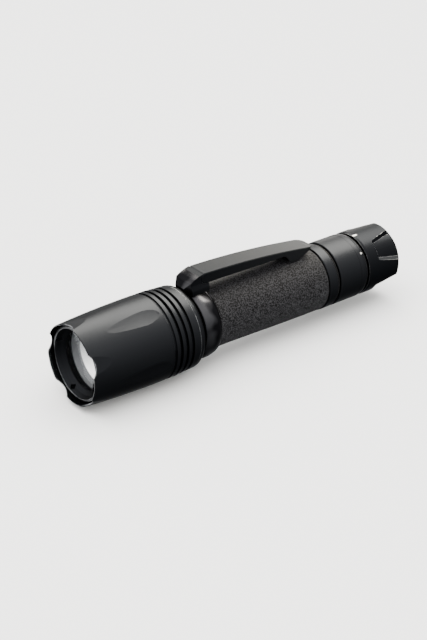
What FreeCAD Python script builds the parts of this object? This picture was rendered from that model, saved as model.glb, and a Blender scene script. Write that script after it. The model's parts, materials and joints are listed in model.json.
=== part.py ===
import FreeCAD, Part
import math
import os

# A tactical flashlight lying on its side. The beam leaves along +X and the clip is on top, at +Z.
# Stations are distances back from the front rim; radii and heights are measured from the light's axis.

# Lengths along the light, from the rim to the tail
shell_length = 46.9
head_collar_length = 3.3
head_gap = 1.7
neck_ring_length = 7.3
grip_gap = 0.3
grip_length = 54.4
shoulder_length = 4.4
tail_groove_width = 1.3
tail_collar_length = 14.7
cap_groove_width = 1.1
cap_length = 18.2

# Fits
thread_clearance = 0.08
running_clearance = 0.06
seat_clearance = 0.05
drop_in_clearance = 0.1
axial_clearance = 0.2

# Cell and body tube
cell_radius = 9.15
cell_length = 69.0
cell_play = 0.45
cell_wrap_wall = 0.25
cell_cap_radius = 4.0
cell_cap_height = 1.6
cell_washer_thickness = 0.4
cell_board_thickness = 1.3
tube_wall = 2.05
tube_setback = 0.3
thread_pitch = 1.5
thread_depth = 0.45
thread_half_width = 0.9
tail_thread_length = 9.4
shoulder_height = 1.7
edge_bevel = 0.25
oring_section = 0.5
head_oring_setback = 2.0

# Grip sleeve and neck ring
grip_wall = 1.5
grip_front_wall = 0.85
grip_taper_length = 48.0
grip_edge = 0.3
neck_ring_wall = 2.9
neck_ring_lip = 0.6
neck_ring_flat = 3.9
neck_ring_edge = 0.5
neck_arc_share = 0.6
neck_arc_drop_share = 0.34
neck_lip_share = 0.12

# Head shell
head_collar_wall = 1.25
head_collar_land = 0.2
head_wall = 3.89
rim_taper = 1.3
taper_length = 33.0
taper_power = 2.0
shell_rear_drop = 0.45
shell_rear_taper = 8.0
rim_bevel = 0.25
rim_chamfer_length = 0.4
rim_chamfer_width = 0.15
groove_count = 4
groove_width = 1.15
groove_pitch = 2.73
groove_depth = 1.4
first_groove_to_rear = 11.95

# Five scalloped notches in the rim, each with a flat behind it, and five pointed ovals
scoop_count = 5
notch_angle = -5.0
notch_depth = 1.55
notch_radius = 6.6
notch_length = 8.0
notch_flat_depth = 0.4
oval_angle = 31.0
oval_tool_radius = 9.0
oval_front = 10.6
oval_deepest = 26.0
oval_sink = 0.28
oval_lead_length = 3.85
oval_tail_length = 10.0
oval_rise_radius = 30.0

# Lens stack
lens_ring_recess = 1.9
lens_ring_depth = 3.8
lens_ring_step = 1.94
lens_ring_lip = 0.3
lens_ring_opening = 11.3
lens_ring_edge = 0.62
lens_ring_face = 0.7
lens_ring_land_depth = 1.9
lens_ring_land_slope = 1.0
spanner_notch_count = 4
spanner_notch_angle = 21.0
spanner_notch_size = 1.7
spanner_notch_depth = 1.4
spanner_notch_inset = 0.6
gasket_thickness = 0.5
gasket_width = 1.2
lens_thickness = 2.0

# Reflector and light source
mouth_radius = 10.2
throat_radius = 3.2
reflector_share = 0.63
reflector_wall = 1.0
reflector_rim_thickness = 1.3
centering_ring_height = 1.1
centering_ring_radius = 6.0
led_size = 5.0
led_height = 0.8
dome_radius = 1.9
led_board_radius = 10.0
led_board_thickness = 1.6
lead_radius = 0.55
lead_offset = 8.6

# Heat sink and driver
driver_setback = 4.8
driver_cavity_depth = 5.6
heat_sink_skirt_wall = 1.8
driver_ledge = 0.8
driver_board_thickness = 1.6
driver_retainer_height = 1.8
driver_retainer_width = 1.5
choke_radius = 3.4
choke_bore = 1.6
choke_height = 2.9
choke_offset = 3.6
capacitor_radius = 1.7
capacitor_height = 3.9
capacitor_offset = 4.4
capacitor_spread = 2.6
chip_thickness = 1.2
chip_width = 2.6
chip_length = 3.4
chip_offset = 3.8
driver_spring_length = 9.2
driver_spring_small_radius = 2.4
driver_spring_large_radius = 4.8
driver_spring_turns = 5
spring_wire_radius = 0.4

# Clip
clip_half_width = 4.5
clip_foot_half_width = 5.0
clip_overhang = 2.7
clip_nose_facets = ((0.0, 4.6), (1.8, 2.5), (3.7, 1.35), (5.8, 0.55))
clip_flare_start = 0.9
clip_flare_height = 2.0
clip_head_clearance = 0.3
clip_root_setback = 6.3
clip_root_radius = 2.1
clip_root_rise = 4.5
clip_foot_lip = 1.25
clip_foot_tail = 1.4
clip_reach = 53.0
clip_drop = 4.35
clip_crown = 0.8
clip_grip_clearance = 0.25
clip_root_length = 7.5
clip_root_swell = 20.0
clip_blade_step = 0.45
clip_bump_drop = 1.3
clip_bump_length = 1.5
clip_bump_ramp = 3.2
clip_hollow = 1.6
clip_tip_slope = 8.7
clip_tip_height = 0.95
clip_corner = 2.4
clip_tip_corner = 1.0
clip_edge = 0.25
clip_pin_radius = 0.8
clip_pin_length = 2.4
clip_pin_setbacks = (1.5, 3.6)

# Tail switch and selector
cap_wall = 1.85
cap_bevel_length = 1.2
cap_bevel = 0.3
tail_chamfer = 1.9
collar_bevel_length = 1.4
plate_radius = 9.3
plate_thickness = 0.8
plate_gap = 0.4
contact_spring_small_radius = 3.85
contact_spring_large_radius = 5.5
contact_spring_turns = 6
switch_board_thickness = 1.2
spigot_wall = 2.7
spigot_length = 10.6
nose_length = 4.8
nose_radius = 9.0
nose_bore = 7.4
nose_shoulder = 2.0
cap_flange_thickness = 1.2
cap_flange_gap = 0.3
cap_tail_wall = 2.75
retainer_thickness = 1.5
retainer_notch_depth = 0.75
module_length = 7.3
module_fit = 0.2
plunger_radius = 1.8
plunger_length = 4.2
button_travel = 1.5
button_stop_gap = 0.4
button_flange_thickness = 1.0
button_recess = 0.6
button_dome = 1.2
seal_thickness = 0.5

# Selector track and detent, and the grip pockets in the cap
selector_turn = 38.7
track_setback = 2.6
track_half_width = 1.25
track_depth = 0.85
stop_pin_radius = 0.8
stop_pin_root = 0.8
stop_pin_angle = 90.0
detent_angle = 270.0
detent_ball_radius = 1.0
detent_notch_radius = 1.25
detent_lift = 0.65
detent_spring_length = 1.0
detent_spring_radius = 0.6
detent_spring_bore = 0.3
pocket_count = 4
pocket_angle = 50.4
pocket_length = 12.4
pocket_front_depth = 0.8
pocket_front_mouth = 4.2
pocket_front_floor = 2.9
pocket_rear_depth = 2.0
pocket_rear_mouth = 6.84
pocket_rear_floor = 4.94

# Stations worked out from the lengths
head_end = shell_length + head_collar_length
neck_front = head_end + head_gap
neck_rear = neck_front + neck_ring_length
grip_front = neck_rear + grip_gap
grip_rear = grip_front + grip_length
shoulder_front = grip_rear + grip_gap
shoulder_rear = shoulder_front + shoulder_length
collar_front = shoulder_rear + tail_groove_width
collar_rear = collar_front + tail_collar_length
cap_front = collar_rear + cap_groove_width
overall_length = cap_front + cap_length

# Radii worked out from the cell outwards
tube_bore = cell_radius + cell_play
tube_radius = tube_bore + tube_wall
thread_bore = tube_radius + thread_clearance
barrel_radius = tube_radius + shoulder_height
sleeve_bore = tube_radius + seat_clearance
grip_radius = sleeve_bore + grip_wall
neck_ring_radius = sleeve_bore + neck_ring_wall
head_collar_spigot = thread_bore + head_collar_wall
head_shoulder_radius = head_collar_length - head_collar_land
head_bore = head_collar_spigot + thread_clearance
head_radius = head_bore + head_wall
cap_bore = barrel_radius - cap_wall
spigot_radius = cap_bore - running_clearance
switch_bore = spigot_radius - spigot_wall

Vector = FreeCAD.Vector
CENTRE = Vector(0, 0, 0)
ALONG = Vector(1, 0, 0)
UP = Vector(0, 0, 1)
SIDE = Vector(0, 1, 0)
BEYOND = 2.0
curve_steps = 6


def place(station, height):
    """A point of the upright plane through the axis."""
    return Vector(overall_length / 2 - station, 0, height)


def curve_through(points):
    """A smooth edge through points of the upright plane."""
    curve = Part.BSplineCurve()
    curve.interpolate([place(station, height) for station, height in points])
    return curve.toShape()


def outline(steps):
    """A closed face. A step is a point, ("arc", middle, end) or ("curve", points up to the end)."""
    start = place(*steps[0])
    here = start
    edges = []
    for step in steps[1:]:
        if step[0] == "arc":
            end = place(*step[2])
            edges.append(Part.Arc(here, place(*step[1]), end).toShape())
        elif step[0] == "curve":
            edges.append(curve_through(step[1]))
            end = place(*step[1][-1])
        else:
            end = place(*step)
            edges.append(Part.makeLine(here, end))
        here = end
    if here.distanceToPoint(start) > 1e-6:
        edges.append(Part.makeLine(here, start))
    return Part.Face(Part.Wire(edges))


def rounded(before, corner, after, reach):
    """Two outline steps that round a corner off, starting and ending a reach away from it."""
    corner_point = Vector(corner[0], corner[1], 0)
    back = (Vector(before[0], before[1], 0) - corner_point).normalize()
    onward = (Vector(after[0], after[1], 0) - corner_point).normalize()
    half_angle = back.getAngle(onward) / 2
    inset = reach / math.cos(half_angle) - reach * math.tan(half_angle)
    start = corner_point + back * reach
    middle = corner_point + (back + onward).normalize() * inset
    end = corner_point + onward * reach
    return [(start.x, start.y), ("arc", (middle.x, middle.y), (end.x, end.y))]


def lathe(steps):
    """A body of revolution about the light's axis."""
    return outline(steps).revolve(CENTRE, ALONG, 360)


def ring(front, rear, inner, outer):
    """A plain ring between two stations."""
    return lathe([(front, inner), (rear, inner), (rear, outer), (front, outer)])


def disc(front, rear, radius):
    """A plain disc between two stations."""
    return Part.makeCylinder(radius, rear - front, place(rear, 0), ALONG)


def turned(shape, angle):
    """A copy turned about the axis, from the clip towards +Y."""
    copy = shape.copy()
    copy.rotate(CENTRE, ALONG, -angle)
    return copy


def around(shape, count, first_angle):
    """Copies spread evenly about the axis."""
    return [turned(shape, first_angle + 360.0 * number / count) for number in range(count)]


def oring(station, centre_radius, section):
    """A round-section ring."""
    return Part.makeTorus(centre_radius, section, place(station, 0), ALONG)


def wide_block(face, half_width):
    """An upright outline given its width across the clip."""
    block = face.extrude(SIDE * (2 * half_width))
    block.translate(SIDE * -half_width)
    return block


def coil(front, rear, front_radius, rear_radius, turns):
    """A conical wire spring between two stations, built of half turns that meet smoothly."""
    count = 2 * turns
    step = (rear - front - 2 * spring_wire_radius) / count
    ends = []
    for number in range(count + 1):
        radius = front_radius + (rear_radius - front_radius) * number / count
        side = 1 if number % 2 == 0 else -1
        ends.append(place(front + spring_wire_radius + step * number, side * radius))
    halves = []
    for number in range(count):
        start = ends[number]
        across = ends[number + 1] - start
        sense = 1 if number % 2 == 0 else -1
        section = Part.Face(Part.Wire(Part.makeCircle(spring_wire_radius, start, SIDE)))
        halves.append(section.revolve(start + across * 0.5, across.cross(SIDE) * sense, 180))
    return halves[0].fuse(halves[1:]).removeSplitter()


def thread_grooves(front, rear):
    """Ring-shaped grooves that stand in for a screw thread on the tube."""
    grooves = []
    count = int((rear - front) / thread_pitch)
    for number in range(count):
        middle = front + thread_pitch * (number + 0.5)
        outside = tube_radius + thread_depth
        grooves.append(lathe([
            (middle, tube_radius - thread_depth),
            (middle + thread_half_width, outside),
            (middle - thread_half_width, outside),
        ]))
    return grooves


def save(name, shape):
    """Write one piece, lifted so that the head's underside is at height zero."""
    lifted = shape.copy()
    lifted.translate(UP * head_radius)
    lifted.exportStep("parts/" + name + ".step")


# ---- Head -------------------------------------------------------------------------------------

lens_ring_rear = lens_ring_recess + lens_ring_depth
gasket_rear = lens_ring_rear + seat_clearance + gasket_thickness
lens_front = gasket_rear + seat_clearance
reflector_front = lens_front + lens_thickness + seat_clearance
mouth_bore = head_bore + lens_ring_step


def shell_radius(station):
    """Outer radius of the shell: a gentle swell from the rim back to full size."""
    if station >= taper_length:
        return head_radius
    return head_radius - rim_taper * ((taper_length - station) / taper_length) ** taper_power


def notch_cutter():
    """A radial bar that scallops the rim, joined to a wedge that planes a flat behind it."""
    centre = place(notch_depth - notch_radius, mouth_bore - BEYOND)
    scallop = Part.makeCylinder(notch_radius, head_wall + BEYOND, centre, UP)
    flat_front = shell_radius(0) - notch_flat_depth
    flat_rear = shell_radius(notch_length)
    run_out = BEYOND * (flat_rear - flat_front) / notch_length
    wedge = outline([
        (-BEYOND, flat_front - run_out),
        (notch_length + BEYOND, flat_rear + run_out),
        (notch_length + BEYOND, head_radius + BEYOND),
        (-BEYOND, head_radius + BEYOND),
    ])
    return scallop.fuse(wide_block(wedge, notch_radius))


def oval_cutter():
    """Spindle that scoops one pointed oval: nearly straight in front, curving out at the rear."""
    front_bottom = shell_radius(oval_front)
    deep_bottom = front_bottom - oval_sink
    spindle = deep_bottom + oval_tool_radius
    run = oval_deepest - oval_front
    tail = oval_tail_length
    half_rise = (tail / 2) ** 2 / (2 * oval_rise_radius)
    rise = tail ** 2 / (2 * oval_rise_radius)
    rise_middle = (oval_deepest + tail / 2, deep_bottom + half_rise)
    front_station = oval_front - oval_lead_length
    front_height = front_bottom + oval_sink * oval_lead_length / run
    profile = outline([
        (front_station, spindle),
        (front_station, front_height),
        (oval_deepest, deep_bottom),
        ("arc", rise_middle, (oval_deepest + tail, deep_bottom + rise)),
        (oval_deepest + tail, spindle),
    ])
    return profile.revolve(place(0, spindle), ALONG, 360)


def head_shell():
    swell = [(rim_bevel, shell_radius(rim_bevel))]
    for number in range(1, curve_steps + 1):
        station = taper_length * number / curve_steps
        swell.append((station, shell_radius(station)))
    shell = lathe([
        (0, mouth_bore + rim_chamfer_width),
        (0, swell[0][1] - rim_bevel),
        swell[0],
        ("curve", swell),
        (shell_length - shell_rear_taper, head_radius),
        (shell_length, head_radius - shell_rear_drop),
        (shell_length, head_bore),
        (lens_ring_rear, head_bore),
        (lens_ring_rear, mouth_bore),
        (rim_chamfer_length, mouth_bore),
    ])
    shell = shell.cut(around(notch_cutter(), scoop_count, notch_angle))
    shell = shell.cut(around(oval_cutter(), scoop_count, oval_angle))
    first = shell_length - first_groove_to_rear
    grooves = []
    for number in range(groove_count):
        front = first + groove_pitch * number - groove_width / 2
        floor = head_radius - groove_depth
        grooves.append(ring(front, front + groove_width, floor, head_radius + BEYOND))
    return shell.cut(grooves)


def lens_ring():
    outer = mouth_bore - thread_clearance
    front_outer = outer - lens_ring_edge
    front_inner = front_outer - lens_ring_face
    land_edge = front_inner - lens_ring_land_slope
    body = lathe([
        (lens_ring_recess + lens_ring_edge, outer),
        (lens_ring_rear, outer),
        (lens_ring_rear, lens_ring_opening),
        (lens_ring_rear - lens_ring_lip, lens_ring_opening),
        (lens_ring_recess + lens_ring_land_depth, land_edge),
        (lens_ring_recess, front_inner),
        (lens_ring_recess, front_outer),
    ])
    size = spanner_notch_size
    notch = Part.makeBox(size, size, size, Vector(-size / 2, -size / 2, 0))
    notch.rotate(CENTRE, UP, 45)
    notch.translate(place(lens_ring_recess + spanner_notch_depth, land_edge - spanner_notch_inset))
    return body.cut(around(notch, spanner_notch_count, spanner_notch_angle))


def lens_gasket():
    inner = head_bore - drop_in_clearance - gasket_width
    return ring(lens_ring_rear + seat_clearance, gasket_rear, inner, head_bore - drop_in_clearance)


def lens():
    return disc(lens_front, lens_front + lens_thickness, head_bore - 2 * drop_in_clearance)


# The reflector takes its share of the room between the lens and the driver's cavity.
spigot_front = shell_length - head_collar_length
driver_rear = spigot_front - driver_setback
driver_front = driver_rear - driver_board_thickness
web_rear = driver_front - driver_cavity_depth
reflector_length = reflector_share * (web_rear - reflector_front)
reflector_rear = reflector_front + reflector_length
focal_length = (mouth_radius ** 2 - throat_radius ** 2) / (4 * reflector_length)
throat_depth = throat_radius ** 2 / (4 * focal_length)
apex = reflector_rear + throat_depth


def bowl_points(front, rear, wall):
    """Points of the parabolic bowl, moved out by a wall."""
    stations = [front + (rear - front) * number / curve_steps for number in range(curve_steps + 1)]
    return [(station, math.sqrt(4 * focal_length * (apex - station)) + wall) for station in stations]


def reflector():
    rim_rear = reflector_front + reflector_rim_thickness
    outside = bowl_points(rim_rear, reflector_rear - throat_depth, reflector_wall)
    inside = bowl_points(reflector_front, reflector_rear, 0)
    return lathe([
        (reflector_front, head_bore - drop_in_clearance),
        (rim_rear, head_bore - drop_in_clearance),
        outside[0],
        ("curve", outside),
        (reflector_rear, outside[-1][1]),
        inside[-1],
        ("curve", inside[::-1]),
    ])


board_front = reflector_rear + 2 * seat_clearance + centering_ring_height
sink_front = board_front + led_board_thickness
skirt_bore = head_bore - drop_in_clearance - heat_sink_skirt_wall


def lead_holes(front, rear, radius):
    """Two straight passages, or the two wires in them, above and below the axis."""
    bar = disc(front, rear, radius)
    bar.translate(UP * lead_offset)
    return around(bar, 2, 0)


def led_centering_ring():
    body = disc(reflector_rear + seat_clearance, board_front - seat_clearance, centering_ring_radius)
    side = led_size + 2 * drop_in_clearance
    corner = place(board_front, -side / 2) - SIDE * (side / 2)
    window = Part.makeBox(2 * centering_ring_height, side, side, corner)
    return body.cut(window)


def led_package():
    corner = place(board_front, -led_size / 2) - SIDE * (led_size / 2)
    return Part.makeBox(led_height, led_size, led_size, corner)


def led_dome():
    ball = Part.makeSphere(dome_radius, place(board_front - led_height, 0))
    return ball.common(disc(board_front - led_height - dome_radius, board_front - led_height, dome_radius))


def led_board():
    board = disc(board_front, sink_front, led_board_radius)
    return board.cut(lead_holes(board_front - BEYOND, sink_front + BEYOND, lead_radius + drop_in_clearance))


def heat_sink():
    outer = head_bore - drop_in_clearance
    skirt_rear = spigot_front - seat_clearance
    body = lathe([
        (sink_front, 0),
        (sink_front, outer),
        (skirt_rear, outer),
        (skirt_rear, skirt_bore),
        (driver_front, skirt_bore),
        (driver_front, skirt_bore - driver_ledge),
        (web_rear, skirt_bore - driver_ledge),
        (web_rear, 0),
    ])
    return body.cut(lead_holes(sink_front - BEYOND, web_rear + BEYOND, lead_radius + drop_in_clearance))


def led_leads():
    return Part.makeCompound(lead_holes(board_front, driver_front, lead_radius))


def driver_board():
    return disc(driver_front, driver_rear, skirt_bore - drop_in_clearance)


def driver_parts():
    """A choke, two capacitors and a chip on the front of the driver board."""
    choke = ring(driver_front - choke_height, driver_front, choke_bore, choke_radius)
    choke.translate(SIDE * choke_offset)
    can = disc(driver_front - capacitor_height, driver_front, capacitor_radius)
    can.translate(SIDE * -capacitor_offset + UP * capacitor_spread)
    second_can = can.copy()
    second_can.translate(UP * (-2 * capacitor_spread))
    chip_corner = place(driver_front, chip_offset) - SIDE * (chip_width / 2)
    chip = Part.makeBox(chip_thickness, chip_width, chip_length, chip_corner)
    return Part.makeCompound([choke, can, second_can, chip])


def driver_retainer():
    outer = skirt_bore - drop_in_clearance
    return ring(driver_rear, driver_rear + driver_retainer_height, outer - driver_retainer_width, outer)


cell_front = driver_rear + driver_spring_length
cell_rear = cell_front + cell_length
tube_front = spigot_front + tube_setback


def driver_spring():
    small = driver_spring_small_radius
    return coil(driver_rear, cell_front, small, driver_spring_large_radius, driver_spring_turns)


def head_collar():
    outer = head_radius - shell_rear_drop
    shoulder = rounded((head_end, 0), (head_end, outer), (0, outer), head_shoulder_radius)
    return lathe([
        (spigot_front, thread_bore),
        (head_end, thread_bore),
        *shoulder,
        (shell_length, outer),
        (shell_length, head_collar_spigot),
        (spigot_front, head_collar_spigot),
    ])


head_oring_station = head_end - head_oring_setback
head_oring_radius = thread_bore - oring_section - thread_clearance / 4


def head_oring():
    return oring(head_oring_station, head_oring_radius, oring_section)


# ---- Body tube, neck ring and grip -------------------------------------------------------------

tube_rear = collar_front + tail_thread_length


def body_tube():
    body = lathe([
        (tube_front, tube_bore),
        (tube_rear, tube_bore),
        (tube_rear, tube_radius),
        (shoulder_rear, tube_radius),
        (shoulder_rear, barrel_radius - edge_bevel),
        (shoulder_rear - edge_bevel, barrel_radius),
        (shoulder_front + edge_bevel, barrel_radius),
        (shoulder_front, barrel_radius - edge_bevel),
        (shoulder_front, tube_radius),
        (tube_front, tube_radius),
    ])
    half_groove = oring_section + seat_clearance
    floor = head_oring_radius - half_groove
    station = head_oring_station
    body = body.cut(ring(station - half_groove, station + half_groove, floor, tube_radius + BEYOND))
    body = body.cut(thread_grooves(tube_front, station - 2 * half_groove))
    return body.cut(thread_grooves(collar_front, tube_rear))


def neck_ring():
    rear_radius = sleeve_bore + grip_front_wall
    flat_end = neck_front + neck_ring_flat
    arc_length = neck_rear - neck_ring_lip - flat_end
    arc_drop = neck_ring_radius - rear_radius
    arc_middle = (flat_end + arc_length * neck_arc_share, neck_ring_radius - arc_drop * neck_arc_drop_share)
    body = lathe([
        (neck_front, sleeve_bore),
        (neck_rear, sleeve_bore),
        (neck_rear, rear_radius),
        (neck_rear - neck_ring_lip, rear_radius + arc_drop * neck_lip_share),
        ("arc", arc_middle, (flat_end, neck_ring_radius)),
        (neck_front + neck_ring_edge, neck_ring_radius),
        (neck_front, neck_ring_radius - neck_ring_edge),
    ])
    return body.cut(clip_pin_bars(seat_clearance))


def foam_grip():
    front_radius = sleeve_bore + grip_front_wall
    return lathe([
        (grip_front, sleeve_bore),
        (grip_rear, sleeve_bore),
        (grip_rear, grip_radius - grip_edge),
        (grip_rear - grip_edge, grip_radius),
        (grip_front + grip_taper_length, grip_radius),
        (grip_front + grip_edge, front_radius + grip_edge / 2),
        (grip_front, front_radius - grip_edge),
    ])


# ---- Clip ---------------------------------------------------------------------------------------

clip_root_station = neck_front + clip_root_setback
clip_root_height = neck_ring_radius + clip_root_rise
clip_top = clip_root_height + clip_root_radius
clip_under = clip_root_height - clip_root_radius
clip_front = neck_front - clip_overhang
foot_rear = clip_root_station + clip_foot_tail


def clip_pin_bars(clearance):
    """Two dowels that stand in the neck ring and reach up into the foot."""
    bars = []
    for setback in clip_pin_setbacks:
        base = place(neck_front + setback, neck_ring_radius - clip_pin_length / 2 - clearance)
        bars.append(Part.makeCylinder(clip_pin_radius + clearance, clip_pin_length + 2 * clearance, base, UP))
    return bars


def clip_pins():
    return Part.makeCompound(clip_pin_bars(0))


def clip_corners(end, inward, half_width, size):
    """Two wedges that take slanted corners off an end of the clip, seen from above."""
    wedges = []
    for side in (-1, 1):
        points = []
        for station, width in (
            (end, half_width - size),
            (end + inward * size, half_width),
            (end + inward * size, half_width + BEYOND),
            (end - inward * BEYOND, half_width + BEYOND),
            (end - inward * BEYOND, half_width - size),
        ):
            points.append(place(station, 0) + SIDE * (side * width))
        wedge = Part.Face(Part.makePolygon(points + points[:1]))
        wedges.append(wedge.extrude(UP * (2 * clip_top)))
    return wedges


def clip_foot():
    socket = clip_root_radius + running_clearance
    lip_station = clip_root_station - clip_foot_lip
    lip_height = clip_root_height + math.sqrt(socket ** 2 - clip_foot_lip ** 2)
    floor = clip_root_height - socket
    nose = [(clip_front + setback, clip_top - drop) for setback, drop in clip_nose_facets]
    side_face = outline([
        (clip_front, tube_radius),
        *nose,
        (lip_station, clip_top),
        (lip_station, lip_height),
        ("arc", (clip_root_station - socket, clip_root_height), (clip_root_station, floor)),
        (foot_rear, floor),
        (foot_rear, tube_radius),
    ])
    flare_low = neck_ring_radius + clip_flare_start
    flare_high = flare_low + clip_flare_height
    section = Part.makePolygon([
        Vector(0, -clip_foot_half_width, 0),
        Vector(0, -clip_foot_half_width, flare_low),
        Vector(0, -clip_half_width, flare_high),
        Vector(0, -clip_half_width, clip_top + BEYOND),
        Vector(0, clip_half_width, clip_top + BEYOND),
        Vector(0, clip_half_width, flare_high),
        Vector(0, clip_foot_half_width, flare_low),
        Vector(0, clip_foot_half_width, 0),
        Vector(0, -clip_foot_half_width, 0),
    ])
    sides = Part.Face(section).extrude(ALONG * overall_length)
    sides.translate(ALONG * (-overall_length / 2))
    foot = wide_block(side_face, clip_foot_half_width).common(sides)
    room = head_radius - shell_rear_drop + clip_head_clearance
    room_rear = head_end + clip_head_clearance
    room_reach = head_shoulder_radius + clip_head_clearance
    keep_clear = lathe([
        (clip_front - BEYOND, 0),
        (clip_front - BEYOND, room),
        *rounded((clip_front - BEYOND, room), (room_rear, room), (room_rear, 0), room_reach),
        (room_rear, 0),
    ])
    corners = clip_corners(clip_front, 1, clip_foot_half_width, clip_corner)
    foot = foot.cut([keep_clear, disc(neck_front - head_gap, foot_rear + BEYOND, neck_ring_radius)] + corners)
    return foot.cut(clip_pin_bars(seat_clearance))


def clip_arm_wire(offset, lowered):
    """Side outline of the arm at an offset across the clip, with its top lowered."""
    end_station = clip_root_station + clip_reach
    top = clip_top - lowered
    end_height = top - clip_drop
    tip_bottom = clip_top - clip_drop - clip_tip_height
    blade_under = clip_under - clip_blade_step
    root_front = clip_root_station - clip_root_radius + lowered / 2
    bump_rear = (end_station - clip_tip_slope, grip_radius - clip_bump_drop)
    bump_front = (bump_rear[0] - clip_bump_length, bump_rear[1])
    hollow = (bump_front[0] - clip_bump_ramp, blade_under)
    blade_front = (clip_root_station + clip_root_length + clip_root_swell, blade_under)
    face = outline([
        (clip_root_station, top),
        (
            "arc",
            (clip_root_station + clip_reach / 2, top - clip_drop / 2 + clip_crown),
            (end_station - clip_root_radius / 2, end_height),
        ),
        (end_station, tip_bottom),
        bump_rear,
        bump_front,
        *rounded(bump_front, hollow, blade_front, clip_hollow),
        blade_front,
        (clip_root_station + clip_root_length, clip_under),
        (clip_root_station, clip_under),
        ("arc", (root_front, clip_root_height), (clip_root_station, top)),
    ])
    wire = face.OuterWire.copy()
    wire.translate(SIDE * offset)
    return wire


def clip_arm():
    end_station = clip_root_station + clip_reach
    flat = clip_half_width - clip_edge
    wires = [
        clip_arm_wire(-clip_half_width, clip_edge),
        clip_arm_wire(-flat, 0),
        clip_arm_wire(flat, 0),
        clip_arm_wire(clip_half_width, clip_edge),
    ]
    arm = Part.makeLoft(wires, True, True)
    wedges = clip_corners(end_station, -1, clip_half_width, clip_tip_corner)
    keep_clear = disc(clip_root_station, end_station + BEYOND, grip_radius + clip_grip_clearance)
    return arm.cut([keep_clear] + wedges)


# ---- Cell ---------------------------------------------------------------------------------------

can_front = cell_front + cell_cap_height
can_rear = cell_rear - cell_board_thickness


def cell_positive_cap():
    return disc(cell_front, can_front, cell_cap_radius)


def cell_insulator():
    inner = cell_cap_radius + drop_in_clearance
    return ring(can_front - cell_washer_thickness, can_front, inner, cell_radius - 2 * cell_wrap_wall)


def cell_can():
    return disc(can_front, can_rear, cell_radius - cell_wrap_wall)


def cell_wrap():
    return ring(can_front, can_rear, cell_radius - cell_wrap_wall, cell_radius)


def cell_board():
    return disc(can_rear, cell_rear, cell_radius - cell_wrap_wall)


# ---- Tail ---------------------------------------------------------------------------------------

plate_front = tube_rear + plate_gap
plate_rear = plate_front + plate_thickness
switch_board_front = plate_rear + plate_gap
switch_step = switch_board_front + switch_board_thickness
spigot_rear = collar_rear + spigot_length
nose_rear = spigot_rear + nose_length
nose_inside = spigot_rear - nose_shoulder
module_rear = switch_step + module_length
button_front = module_rear + button_travel + button_stop_gap
button_flange_rear = button_front + button_flange_thickness
track_station = cap_front + track_setback
tail_end = overall_length


def tail_oring():
    section = tail_groove_width / 2 - seat_clearance
    return oring(shoulder_rear + tail_groove_width / 2, tube_radius + section + seat_clearance / 2, section)


def contact_plate():
    return disc(plate_front, plate_rear, plate_radius)


def contact_spring():
    small = contact_spring_small_radius
    return coil(cell_rear, plate_front, small, contact_spring_large_radius, contact_spring_turns)


def radial_bar(station, angle, inner, outer, radius):
    """A round bar that points away from the axis."""
    return turned(Part.makeCylinder(radius, outer - inner, place(station, inner), UP), angle)


ball_height = spigot_radius + detent_lift - detent_ball_radius + running_clearance
ball_pocket_floor = ball_height - detent_ball_radius - detent_spring_length
pin_foot = switch_bore + stop_pin_root


def tail_collar():
    body = lathe([
        (collar_front, thread_bore),
        (switch_step, thread_bore),
        (switch_step, switch_bore),
        (nose_inside, switch_bore),
        (nose_inside, nose_bore),
        (nose_rear, nose_bore),
        (nose_rear, nose_radius),
        (spigot_rear, nose_radius),
        (spigot_rear, spigot_radius),
        (collar_rear, spigot_radius),
        (collar_rear, barrel_radius - cap_bevel),
        (collar_rear - collar_bevel_length, barrel_radius),
        (collar_front + edge_bevel, barrel_radius),
        (collar_front, barrel_radius - edge_bevel),
    ])
    pin_hole = radial_bar(track_station, stop_pin_angle, pin_foot, cap_bore, stop_pin_radius)
    ball_radius = detent_ball_radius + running_clearance
    ball_hole = radial_bar(track_station, detent_angle, ball_pocket_floor, cap_bore, ball_radius)
    return body.cut([pin_hole, ball_hole])


def selector_oring():
    section = cap_groove_width / 2 - seat_clearance
    return oring(collar_rear + cap_groove_width / 2, spigot_radius + section + seat_clearance / 2, section)


def stop_pin():
    top = cap_bore + track_depth - axial_clearance
    return radial_bar(track_station, stop_pin_angle, pin_foot, top, stop_pin_radius)


def detent_ball():
    return turned(Part.makeSphere(detent_ball_radius, place(track_station, ball_height)), detent_angle)


def detent_spring():
    top = ball_height - detent_ball_radius
    bar = radial_bar(track_station, detent_angle, ball_pocket_floor, top, detent_spring_radius)
    low = ball_pocket_floor - BEYOND
    return bar.cut(radial_bar(track_station, detent_angle, low, top + BEYOND, detent_spring_bore))


def selector_track(angle):
    """Arc-shaped channel in the cap's bore, long enough for the selector's turn."""
    half_angle = math.degrees(track_half_width / cap_bore)
    width = 2 * track_half_width
    face = outline([
        (track_station - width / 2, cap_bore - axial_clearance),
        (track_station + width / 2, cap_bore - axial_clearance),
        (track_station + width / 2, cap_bore + track_depth),
        (track_station - width / 2, cap_bore + track_depth),
    ])
    sweep = face.revolve(CENTRE, ALONG, selector_turn + 2 * half_angle)
    return turned(sweep, angle + half_angle)


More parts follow.
